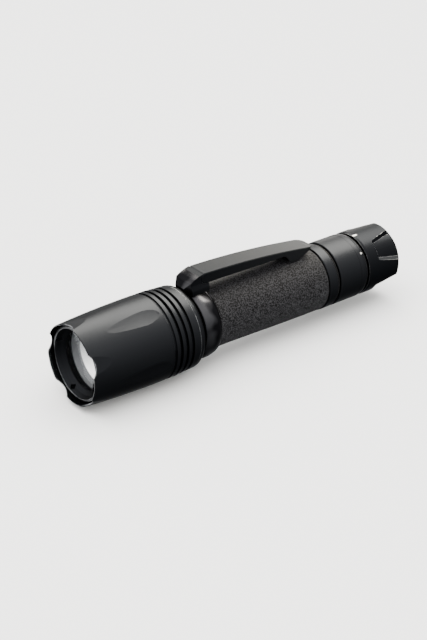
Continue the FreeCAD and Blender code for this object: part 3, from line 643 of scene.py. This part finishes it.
# %% The ring behind the head
FINE_TURN = 160
neck_points = nodes["neck_ring"].data.vertices
neck_bore = min(math.hypot(v.co.y, v.co.z - axis_height) for v in neck_points) / MM
neck_profile = [
    (51.1, neck_bore), (51.1, 13.4), (51.4, 13.95), (52.0, 14.3), (52.9, 14.5), (54.2, 14.6),
    (55.6, 14.58), (56.8, 14.4), (57.8, 14.12), (58.5, 13.8), (59.0, 13.4), (59.2, 12.95),
    (59.2, neck_bore),
]
neck_mesh = ended(
    "neck_ring_rounded", turned(neck_profile, FINE_TURN), glossy, smooth_to=40)
settle("neck_ring_rounded", neck_mesh, "light", ("neck_ring",))
print("bore of the neck ring:", round(neck_bore, 2))

# %% [markdown]
# ## The pocket clip
# One springy moulding, seen as a foot with a polished nose and a long satin arm. The arm looks
# darker toward the nose. That is a fall of light, which the lamps here don't give, so a slow ramp
# in its colour stands in for it; another lamp would fall on the foam beside it too. The arm's thin
# rounded tip could be carved by hand, but a chain of extruded rings makes it in one go.

# %% Satin nylon
DARK_END, PALE_END = 52.0, 108.0
satin, tree, shader = new_finish("satin_glass_filled_nylon", "#202123", Metallic=1.0, Roughness=0.4)
shader.inputs["Specular Tint"].default_value = linear("#c4c4c4")
coordinates = grain(tree, shader, 0.25, 3.0, relief=(0.3, 0.03 * MM))
place = add(tree, "ShaderNodeSeparateXYZ", {"Vector": coordinates})
toward_nose = add(tree, "ShaderNodeMapRange", {
    "Value": place.outputs["X"],
    "From Min": rim_x - PALE_END * MM, "From Max": rim_x - DARK_END * MM})
fall = add(tree, "ShaderNodeValToRGB", {"Fac": toward_nose.outputs["Result"]})
fall.color_ramp.elements[0].color = linear("#272829")
fall.color_ramp.elements[1].color = linear("#17181a")
tree.links.new(fall.outputs["Color"], shader.inputs["Base Color"])
wear(("clip_foot", "clip_arm"), satin)
print("the clip's tone falls from station", PALE_END, "to", DARK_END)

# %% The foot and its polished nose
NOSE_FACING = 0.3
nose = softened(
    "clip_foot", "clip_foot_edged", "light", satin, satin, 0.25, segments=3)
nose.data.materials.append(glossy)
polished = [face for face in nose.data.polygons if face.normal.x > NOSE_FACING]
for face in polished:
    face.material_index = 2
print("polished faces of the nose:", len(polished))

# %% The arm and its thin tip
TIP_START, TIP_TURN, TIP_THINNEST, TIP_STEPS = 109.3 * MM, 3.1 * MM, 0.25 * MM, 7
# How far the top falls and the underside rises for each millimetre of the tip.
TIP_FALL, TIP_RISE = 0.145, 0.46


def round_the_tip(shape):
    """Cuts the arm short and draws it out again to a thin rounded end."""
    bmesh.ops.bisect_plane(
        shape, geom=shape.verts[:] + shape.edges[:] + shape.faces[:], dist=SEAM,
        plane_co=(rim_x - TIP_START, 0, 0), plane_no=(-1, 0, 0), clear_outer=True)
    ring = [edge for edge in shape.edges if len(edge.link_faces) == 1]
    rim = {vertex: vertex.co.copy() for edge in ring for vertex in edge.verts}
    low, high = min(co.z for co in rim.values()), max(co.z for co in rim.values())
    half = max(abs(co.y) for co in rim.values())
    for step in range(1, TIP_STEPS + 1):
        swing = math.radians(90.0 * step / TIP_STEPS)
        run = TIP_TURN * math.sin(swing)
        width = (half - TIP_TURN * (1 - math.cos(swing))) / half
        thick = max((high - TIP_FALL * run) - (low + TIP_RISE * run), TIP_THINNEST)
        made = bmesh.ops.extrude_edge_only(shape, edges=ring)["geom"]
        after = {item for item in made if isinstance(item, bmesh.types.BMVert)}
        moved = {}
        for vertex in after:
            old = min(rim, key=lambda known: (known.co - vertex.co).length)
            moved[vertex] = rim[old]
        for vertex, first in moved.items():
            share = (first.z - low) / (high - low)
            fallen = high - TIP_FALL * run - (1 - share) * thick
            vertex.co = (rim_x - TIP_START - run, first.y * width, fallen)
        rim = moved
        drawn = [item for item in made if isinstance(item, bmesh.types.BMEdge)]
        ring = [edge for edge in drawn if edge.verts[0] in after and edge.verts[1] in after]
    bmesh.ops.contextual_create(shape, geom=ring)
    bmesh.ops.recalc_face_normals(shape, faces=shape.faces)
    print("tip ends at", round((TIP_START + run) / MM, 1), "mm,", round(thick / MM, 2), "mm thick")


softened("clip_arm", "clip_arm_edged", "clip", satin, satin, 0.3,
         segments=3, reshape=round_the_tip)

# %% [markdown]
# ## The foam sleeve
# The grip is a closed-cell foam sleeve pulled over the tube: charcoal, dry, with a fine torn grain
# that catches the light in specks. A bump in the material would leave its outline perfectly
# straight, and sculpting it by hand would never end. Geometry Nodes fit it best: one grid is
# rolled into a closed sleeve, and a noise moves its skin by up to a twentieth of a millimetre.
# The rest of the grain is in the finish, as relief and as specks. The real grain is a little
# finer than this; it is drawn as coarse as it needs to be to show at this distance.

# %% Foam material
# Dry and dark with pale specks. The low index keeps its far side from going grey.
FOAM_GRAIN = 0.46
foam, tree, shader = new_finish("charcoal_closed_cell_foam", "#1c1c1e", Roughness=0.8, IOR=1.22)
grain(tree, shader, FOAM_GRAIN, relief=(0.8, 0.2 * MM),
      tones=((0.46, "#030304"), (0.56, "#272729")))
print("grain of the foam's tone in mm:", FOAM_GRAIN)

# %% A Geometry Nodes workbench


def new_tree(name, inputs):
    """A Geometry Nodes tree with named inputs. Each is (name, socket type, default)."""
    tree = bpy.data.node_groups.new(name, "GeometryNodeTree")
    tree.interface.new_socket("Geometry", in_out="OUTPUT", socket_type="NodeSocketGeometry")
    sockets = {}
    for label, kind, value in inputs:
        socket = tree.interface.new_socket(label, in_out="INPUT", socket_type=kind)
        if kind != "NodeSocketMaterial":
            socket.default_value = value
        sockets[label] = (socket.identifier, value)
    entry = add(tree, "NodeGroupInput")
    return tree, entry, sockets


def close_tree(tree, geometry, material):
    """Ends a tree in real geometry that carries its material."""
    real = add(tree, "GeometryNodeRealizeInstances", {"Geometry": geometry})
    dressed = add(tree, "GeometryNodeSetMaterial", {
        "Geometry": real.outputs["Geometry"], "Material": material})
    add(tree, "NodeGroupOutput", {"Geometry": dressed.outputs["Geometry"]})


def grow(name, tree, sockets):
    """Runs a tree on an empty mesh and keeps its result as a plain mesh object."""
    seed = bpy.data.objects.new(name + "_seed", bpy.data.meshes.new(name + "_seed"))
    bpy.context.scene.collection.objects.link(seed)
    modifier = seed.modifiers.new("grow", "NODES")
    modifier.node_group = tree
    for identifier, value in sockets.values():
        modifier[identifier] = value
    evaluated = seed.evaluated_get(bpy.context.evaluated_depsgraph_get())
    mesh = bpy.data.meshes.new_from_object(evaluated)
    mesh.name = name
    bpy.data.objects.remove(seed)
    piece = bpy.data.objects.new(name, mesh)
    bpy.context.scene.collection.objects.link(piece)
    print(name, "has", len(mesh.polygons), "faces")
    return piece


print("workbench ready")

# %% Sleeve tree
grip_front, grip_rear, grip_radius = span("foam_grip")
sleeve_inputs = [
    ("Front", "NodeSocketFloat", rim_x - grip_front * MM),
    ("Length", "NodeSocketFloat", (grip_rear - grip_front) * MM),
    ("Bore", "NodeSocketFloat", 11.7 * MM),
    ("Front radius", "NodeSocketFloat", (grip_radius - 0.7) * MM),
    ("Full radius", "NodeSocketFloat", (grip_radius - 0.06) * MM),
    ("Taper", "NodeSocketFloat", 48.0 * MM),
    ("Rounding", "NodeSocketFloat", 0.7 * MM),
    ("Grain pitch", "NodeSocketFloat", 0.55 * MM),
    ("Grain depth", "NodeSocketFloat", 0.20 * MM),
    ("Axis height", "NodeSocketFloat", axis_height),
    ("Stations", "NodeSocketInt", 232),
    ("Around", "NodeSocketInt", 360),
    ("Foam", "NodeSocketMaterial", foam),
]
print("sleeve from", round(grip_front, 2), "to", round(grip_rear, 2), "mm back from the rim")

# %% Where each corner of the sheet goes along the sleeve
# The first and last rows of the sheet become the bore, and the rows between become the skin. So
# the last row has to run back to the front, which the pull does: it takes its share below zero.
MATHS, PULL = "ShaderNodeMath", 9.0
tree, entry, sleeve_sockets = new_tree("foam_sleeve_tree", sleeve_inputs)
size = entry.outputs
sheet = add(tree, "GeometryNodeMeshGrid", {
    "Size X": 1.0, "Size Y": 1.0, "Vertices X": size["Stations"], "Vertices Y": size["Around"]})
position = add(tree, "GeometryNodeInputPosition", give=0)
place = add(tree, "ShaderNodeSeparateXYZ", {"Vector": position})
last = add(tree, MATHS, {0: size["Stations"], 1: 1.0}, 0, operation="SUBTRACT")
from_edge = add(tree, MATHS, {0: place.outputs["X"], 1: 0.5}, 0, operation="ADD")
in_rows = add(tree, MATHS, {0: from_edge, 1: last}, 0, operation="MULTIPLY")
row = add(tree, MATHS, {0: in_rows}, 0, operation="ROUND")
skin_row = add(tree, MATHS, {0: row, 1: 1.0}, 0, operation="SUBTRACT")
skin_rows = add(tree, MATHS, {0: last, 1: 3.0}, 0, operation="SUBTRACT")
run = add(tree, MATHS, {0: skin_row, 1: skin_rows}, 0, operation="DIVIDE")
past_last = add(tree, MATHS, {0: last, 1: 0.5}, 0, operation="SUBTRACT")
closing = add(tree, MATHS, {0: row, 1: past_last}, 0, operation="GREATER_THAN")
pull = add(tree, MATHS, {0: closing, 1: PULL}, 0, operation="MULTIPLY")
pulled = add(tree, MATHS, {0: run, 1: pull}, 0, operation="SUBTRACT")
share = add(tree, "ShaderNodeClamp", {"Value": pulled}, 0)
along = add(tree, MATHS, {0: share, 1: size["Length"]}, 0, operation="MULTIPLY")
after_first = add(tree, MATHS, {0: row, 1: 0.5}, 0, operation="GREATER_THAN")
before_bore = add(tree, MATHS, {0: last, 1: 1.5}, 0, operation="SUBTRACT")
before_last = add(tree, MATHS, {0: row, 1: before_bore}, 0, operation="LESS_THAN")
skin = add(tree, MATHS, {0: after_first, 1: before_last}, 0, operation="MULTIPLY")
print("the skin uses", sleeve_sockets["Stations"][1] - 3, "rings of the sheet")

# %% Roll the sheet and round its ends
END_DROP = 0.55
taper = add(tree, "ShaderNodeMapRange", {
    "Value": along, "From Min": 0.0, "From Max": size["Taper"],
    "To Min": size["Front radius"], "To Max": size["Full radius"]}, 0,
    interpolation_type="SMOOTHSTEP")
to_rear = add(tree, MATHS, {0: size["Length"], 1: along}, 0, operation="SUBTRACT")
near_end = add(tree, MATHS, {0: along, 1: to_rear}, 0, operation="MINIMUM")
edge = add(tree, "ShaderNodeMapRange", {
    "Value": near_end, "From Min": 0.0, "From Max": size["Rounding"],
    "To Min": size["Rounding"], "To Max": 0.0}, 0, interpolation_type="SMOOTHSTEP")
drop = add(tree, MATHS, {0: edge, 1: END_DROP}, 0, operation="MULTIPLY")
outer = add(tree, MATHS, {0: taper, 1: drop}, 0, operation="SUBTRACT")
radius = add(tree, "GeometryNodeSwitch", {
    "Switch": skin, "False": size["Bore"], "True": outer}, 0, input_type="FLOAT")
share_round = add(tree, MATHS, {0: place.outputs["Y"], 1: 0.5}, 0, operation="ADD")
angle = add(tree, MATHS, {0: share_round, 1: math.tau}, 0, operation="MULTIPLY")
sine = add(tree, MATHS, {0: angle}, 0, operation="SINE")
cosine = add(tree, MATHS, {0: angle}, 0, operation="COSINE")
sideways = add(tree, MATHS, {0: radius, 1: sine}, 0, operation="MULTIPLY")
upward = add(tree, MATHS, {0: radius, 1: cosine}, 0, operation="MULTIPLY")
back = add(tree, MATHS, {0: size["Front"], 1: along}, 0, operation="SUBTRACT")
height = add(tree, MATHS, {0: upward, 1: size["Axis height"]}, 0, operation="ADD")
rolled = add(tree, "ShaderNodeCombineXYZ", {"X": back, "Y": sideways, "Z": height}, 0)
sleeve = add(tree, "GeometryNodeSetPosition", {
    "Geometry": sheet.outputs["Mesh"], "Position": rolled}, 0)
print("nodes so far:", len(tree.nodes))

# %% Raise the grain of its skin
# A node reads its angle where it is used, and here that is on the rolled sleeve, whose width is
# tiny beside a metre. So the angle is close to half a turn all round: the grain moves the skin
# up and down, most of it shows on the crest and the belly, and the flanks stay smooth.
# The noise's middle is 0.5. Taking more than that away lifts the whole skin by a trace.
NOISE_LEVEL = 0.62
downward = add(tree, "ShaderNodeCombineXYZ", {"X": 0.0, "Y": sine, "Z": cosine}, 0)
pitch = add(tree, MATHS, {0: 1.0, 1: size["Grain pitch"]}, 0, operation="DIVIDE")
torn = add(tree, "ShaderNodeTexNoise", {"Vector": position, "Scale": pitch, "Detail": 2.0})
swing = add(tree, MATHS, {0: torn.outputs["Fac"], 1: NOISE_LEVEL}, 0, operation="SUBTRACT")
depth = add(tree, MATHS, {0: size["Grain depth"], 1: skin}, 0, operation="MULTIPLY")
rise = add(tree, MATHS, {0: swing, 1: depth}, 0, operation="MULTIPLY")
lift = add(tree, "ShaderNodeVectorMath", {0: downward, "Scale": rise}, 0, operation="SCALE")
grained = add(tree, "GeometryNodeSetPosition", {"Geometry": sleeve, "Offset": lift}, 0)
sealed = add(tree, "GeometryNodeMergeByDistance", {
    "Geometry": grained, "Distance": 0.01 * MM})
close_tree(tree, sealed.outputs[0], size["Foam"])
foam_sleeve = grow("foam_sleeve", tree, sleeve_sockets)
shape = bmesh.new()
shape.from_mesh(foam_sleeve.data)
bmesh.ops.recalc_face_normals(shape, faces=shape.faces)
open_edges = sum(1 for edge in shape.edges if len(edge.link_faces) != 2)
print("open edges:", open_edges, "volume in cm3:", round(shape.calc_volume() * 1e6, 2))
shape.to_mesh(foam_sleeve.data)
shape.free()
for face in foam_sleeve.data.polygons:
    face.use_smooth = True
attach(foam_sleeve, "light")
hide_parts("foam_grip")

# %% [markdown]
# ## The lens and the reflector
# A flat coated glass, and behind it a deep plated bowl whose lip and mouth are painted grey: a
# painted reflection of the dark rim, which the bowl would mirror there. Glass could be drawn by
# transmission, which spends many bounces on a flat pane. Here its faces are a nearly clear sheet
# with a trace of a mirror, the little that a coated glass gives back; the ground edges are painted
# dark, as the shade in their seat. A bowl turned from a profile keeps its curve smooth enough to
# mirror the tent, where a solid's facets would break it.

# %% Lens
# The faces add a faint gleam and hide nothing. Their haze varies over a centimetre or so.
LENS_CLARITY, FACE_ON = 0.028, 0.9
glass, tree, shader = new_finish(
    "coated_lens_glass", "#f4f7f8", Roughness=0.0, Metallic=1.0, Alpha=LENS_CLARITY)
grain(tree, shader, 12.0, 1.0, sheen=(0.0, 0.02))
wear(("lens",), glass)
# The ground edge is dull and painted dark, as the shade in its seat, so the disc has no bright
# outline.
ground, tree, shader = new_finish("ground_glass_edge_in_shadow", "#0d0e0f", Roughness=0.7, IOR=1.2)
grain(tree, shader, 0.4, relief=(0.4, 0.03 * MM))
disc_profile = [
    (6.3, 0.0), (6.3, 12.66), (6.5, 12.86), (8.1, 12.86), (8.3, 12.66), (8.3, 0.0),
]
disc_mesh = ended(
    "lens_disc", turned(disc_profile, FINE_TURN, closed=False), glass, ground, smooth_to=30)
for face in disc_mesh.polygons:
    face.material_index = 1 if abs(face.normal.x) < FACE_ON else 0
settle("lens_disc", disc_mesh, "light", ("lens",))
print("lens between", disc_profile[0][0], "and", disc_profile[-1][0], "mm back from the rim")

# %% Reflector
# The plating gives the bright eye of the light. The grey round it, on the lip and the front of the
# bowl, is a painted reflection of the dark rim; it is rough as well, and frames the eye in grey.
LIP_DEPTH, LIP_FACING = 11.5, 0.05

plating, tree, shader = new_finish(
    "vacuum_plated_aluminium", "#eeeeec", Metallic=1.0, Roughness=0.08)
grain(tree, shader, 0.8, 1.0, relief=(0.15, 0.05 * MM))
wear(("reflector",), plating)
lip, tree, shader = new_finish("grey_lip_painted_rim_reflection", "#8e9093", Metallic=1.0, Roughness=0.6)
grain(tree, shader, 0.5, sheen=(0.55, 0.65))
bowl_profile = [
    (9.65, 12.93), (8.42, 12.93), (8.42, 12.25), (9.0, 12.05), (9.6, 11.84), (10.2, 11.63),
    (10.8, 11.38), (11.3, 11.08), (12.0, 10.52), (13.0, 9.52), (14.0, 8.62), (15.0, 7.76),
    (16.0, 6.97), (17.0, 6.29), (18.0, 5.72), (19.0, 5.25), (20.0, 4.86), (21.5, 4.37),
    (22.95, 3.97), (22.95, 4.6), (19.0, 6.0), (16.0, 7.8), (13.0, 10.3), (11.0, 12.0),
    (10.4, 12.6), (9.65, 12.93),
]
bowl_mesh = ended(
    "reflector_bowl", turned(bowl_profile, FINE_TURN), plating, lip, smooth_to=35)
for face in bowl_mesh.polygons:
    in_front = (rim_x - face.center.x) / MM < LIP_DEPTH
    face.material_index = 1 if in_front and face.normal.x > LIP_FACING else 0
settle("reflector_bowl", bowl_mesh, "light", ("reflector",))
print("bowl", round(bowl_profile[2][1] * 2, 1), "mm wide at its mouth")

# %% [markdown]
# ## Finishes inside
# Few of these show while the light is whole: the button at the tail, and rings in their grooves.
# But the tail unscrews, and the parts may be used on their own. Each is a plain finish with its
# own grain. They could be painted flat, but then a part taken out would look unfinished beside
# the rest. One helper is enough for all of them.

# %% Simple inner finishes


def inner(name, colour, size_mm, depth_mm, **sockets):
    """A finish with a fine relief of its own."""
    material, tree, shader = new_finish(name, colour, **sockets)
    grain(tree, shader, size_mm, relief=(0.5, depth_mm * MM))
    return material


# Soft and dark: they only close the joints that they sit in.
wear(("lens_gasket", "head_oring", "tail_oring", "selector_oring", "button_seal"),
     inner("nitrile_rubber", "#0b0b0c", 0.4, 0.02, Roughness=0.7, IOR=1.2))
wear(("switch_button",),
     inner("silicone_rubber", "#0a0a0b", 0.4, 0.03, Roughness=0.6, IOR=1.2))
# Pale plastics and the clear dome, which keep the electronics easy to tell apart.
wear(("led_centering_ring", "switch_module", "cell_insulator"),
     inner("white_nylon", "#e4e3de", 1.0, 0.02, Roughness=0.5))
wear(("led_package",), inner("phosphor", "#e0b030", 0.5, 0.02, Roughness=0.5))
wear(("led_dome",), inner("clear_silicone", "#f6f4e6", 2.0, 0.001,
                          Roughness=0.02, Transmission_Weight=1.0, IOR=1.41))
wear(("led_board", "driver_board", "switch_board", "cell_board"),
     inner("solder_mask", "#1d5a33", 0.5, 0.01, Roughness=0.3))
wear(("driver_parts", "switch_plunger"),
     inner("moulded_epoxy", "#202022", 0.3, 0.02, Roughness=0.6))
wear(("led_leads",), inner("silicone_lead", "#a01c1c", 0.5, 0.01, Roughness=0.5))
wear(("cell_wrap",), inner("blue_shrink_sleeve", "#1f4f86", 2.0, 0.05, Roughness=0.25))
print("soft and moulded finishes made")

# %% Bare metals inside
# All share one fine grain. Only colour and polish tell them apart.
METAL_GRAIN, METAL_RELIEF = 0.5, 0.01
for name, colour, roughness, node_names in (
    ("bare_turned_aluminium", "#c8c9ca", 0.3, ("heat_sink",)),
    ("turned_brass", "#d9b765", 0.25, ("driver_retainer", "contact_plate")),
    ("gilt_spring_bronze", "#e3c27a", 0.2, ("driver_spring", "contact_spring")),
    ("bright_steel", "#c9cacb", 0.22, ("clip_pins", "stop_pin", "detent_ball",
                                       "detent_spring", "cell_can", "cell_positive_cap")),
):
    wear(node_names, inner(
        name, colour, METAL_GRAIN, METAL_RELIEF, Roughness=roughness, Metallic=1.0))
    print(name, "on", len(node_names), "nodes")

# %% [markdown]
# ## Index marks
# The selector has a white bar on its front edge, and the collar a small white ring to set it
# against. Such marks are usually pad printed: a film of ink a few hundredths of a millimetre
# thick. A texture would need a painted mask; two thin shells that follow the metal's own radius
# give the same look and turn with their own parts. The fine line round the collar is turned.

# %% Printed marks
# How far the film reaches into the metal and above it.
FILM_SUNK, FILM_PROUD = 0.02, 0.035
# White and slightly worn: the only bright things on the barrel.
paint, tree, shader = new_finish("pad_printed_white_ink", "#d8d8d4", Roughness=0.5, IOR=1.45)
grain(tree, shader, 0.3, tones=((0.3, "#b9b9b5"), (0.6, "#e6e6e2")))


def printed(name, body, outline, hole=()):
    """A raised film on the barrel. Outline and hole are lists of (station, degrees)."""
    barrel = span("selector_cap")[2]
    shape = bmesh.new()
    layers = []
    for radius in (barrel - FILM_SUNK, barrel + FILM_PROUD):
        outer = [shape.verts.new(spot(station, radius, angle)) for station, angle in outline]
        inner_ring = [shape.verts.new(spot(station, radius, angle)) for station, angle in hole]
        layers.append((outer, inner_ring))
    count = len(outline)
    (low_outer, low_hole), (top_outer, top_hole) = layers
    for k in range(count):
        after = (k + 1) % count
        shape.faces.new([low_outer[k], low_outer[after], top_outer[after], top_outer[k]])
        if hole:
            shape.faces.new([low_hole[k], low_hole[after], top_hole[after], top_hole[k]])
            shape.faces.new([top_outer[k], top_outer[after], top_hole[after], top_hole[k]])
            shape.faces.new([low_outer[k], low_outer[after], low_hole[after], low_hole[k]])
    if not hole:
        shape.faces.new(top_outer)
        shape.faces.new(low_outer)
    bmesh.ops.recalc_face_normals(shape, faces=shape.faces)
    return settle(name, ended(name, shape, paint), body)


def around(station, angle, size, count=24):
    """A small circle on the barrel, as stations and degrees."""
    reach = math.degrees(size / span("selector_cap")[2])
    turns = [math.tau * k / count for k in range(count)]
    return [(station + size * math.cos(turn), angle + reach * math.sin(turn)) for turn in turns]


print("the ink stands", FILM_PROUD, "mm proud")

# %% The bar, the ring and the step line
# Stations in millimetres, angles and half widths in degrees.
BAR_FRONT, BAR_REAR, BAR_MIDDLE, BAR_HALF, BAR_THIRDS = 136.0, 138.1, 8.0, 1.7, 3
bar_sides = [BAR_MIDDLE - BAR_HALF + BAR_HALF * k / BAR_THIRDS for k in range(2 * BAR_THIRDS + 1)]
bar_outline = [(BAR_FRONT, side) for side in bar_sides]
bar_outline += [(BAR_REAR, side) for side in reversed(bar_sides)]
printed("selector_bar", "selector", bar_outline)
RING_STATION, RING_ANGLE, RING_OUTER, RING_INNER = 133.5, 46.7, 0.38, 0.2
printed("collar_ring_mark", "tail",
        around(RING_STATION, RING_ANGLE, RING_OUTER), around(RING_STATION, RING_ANGLE, RING_INNER))
STEP_FRONT, STEP_SUNK, STEP_PROUD = 131.2, 0.1, 0.05
barrel_radius = span("tail_collar")[2]
step_profile = [
    (STEP_FRONT, barrel_radius - STEP_SUNK), (STEP_FRONT + 0.06, barrel_radius + STEP_PROUD),
    (STEP_FRONT + 0.2, barrel_radius + STEP_PROUD), (STEP_FRONT + 0.3, barrel_radius - STEP_SUNK),
]
step_mesh = ended("collar_step", turned(step_profile, FINE_TURN), anodised)
settle("collar_step", step_mesh, "tail")
print("the bar and the ring are", round(RING_ANGLE - BAR_MIDDLE, 1), "degrees apart")

# %% [markdown]
# ## Linking
# The two softboxes light every part but the floor. Only the size before dressing is printed, when
# the frame is loaded.

# %% Who gets the softboxes' light
for piece in bpy.context.scene.objects:
    if piece.type == "MESH" and piece is not floor:
        lit_by_softboxes.objects.link(piece)
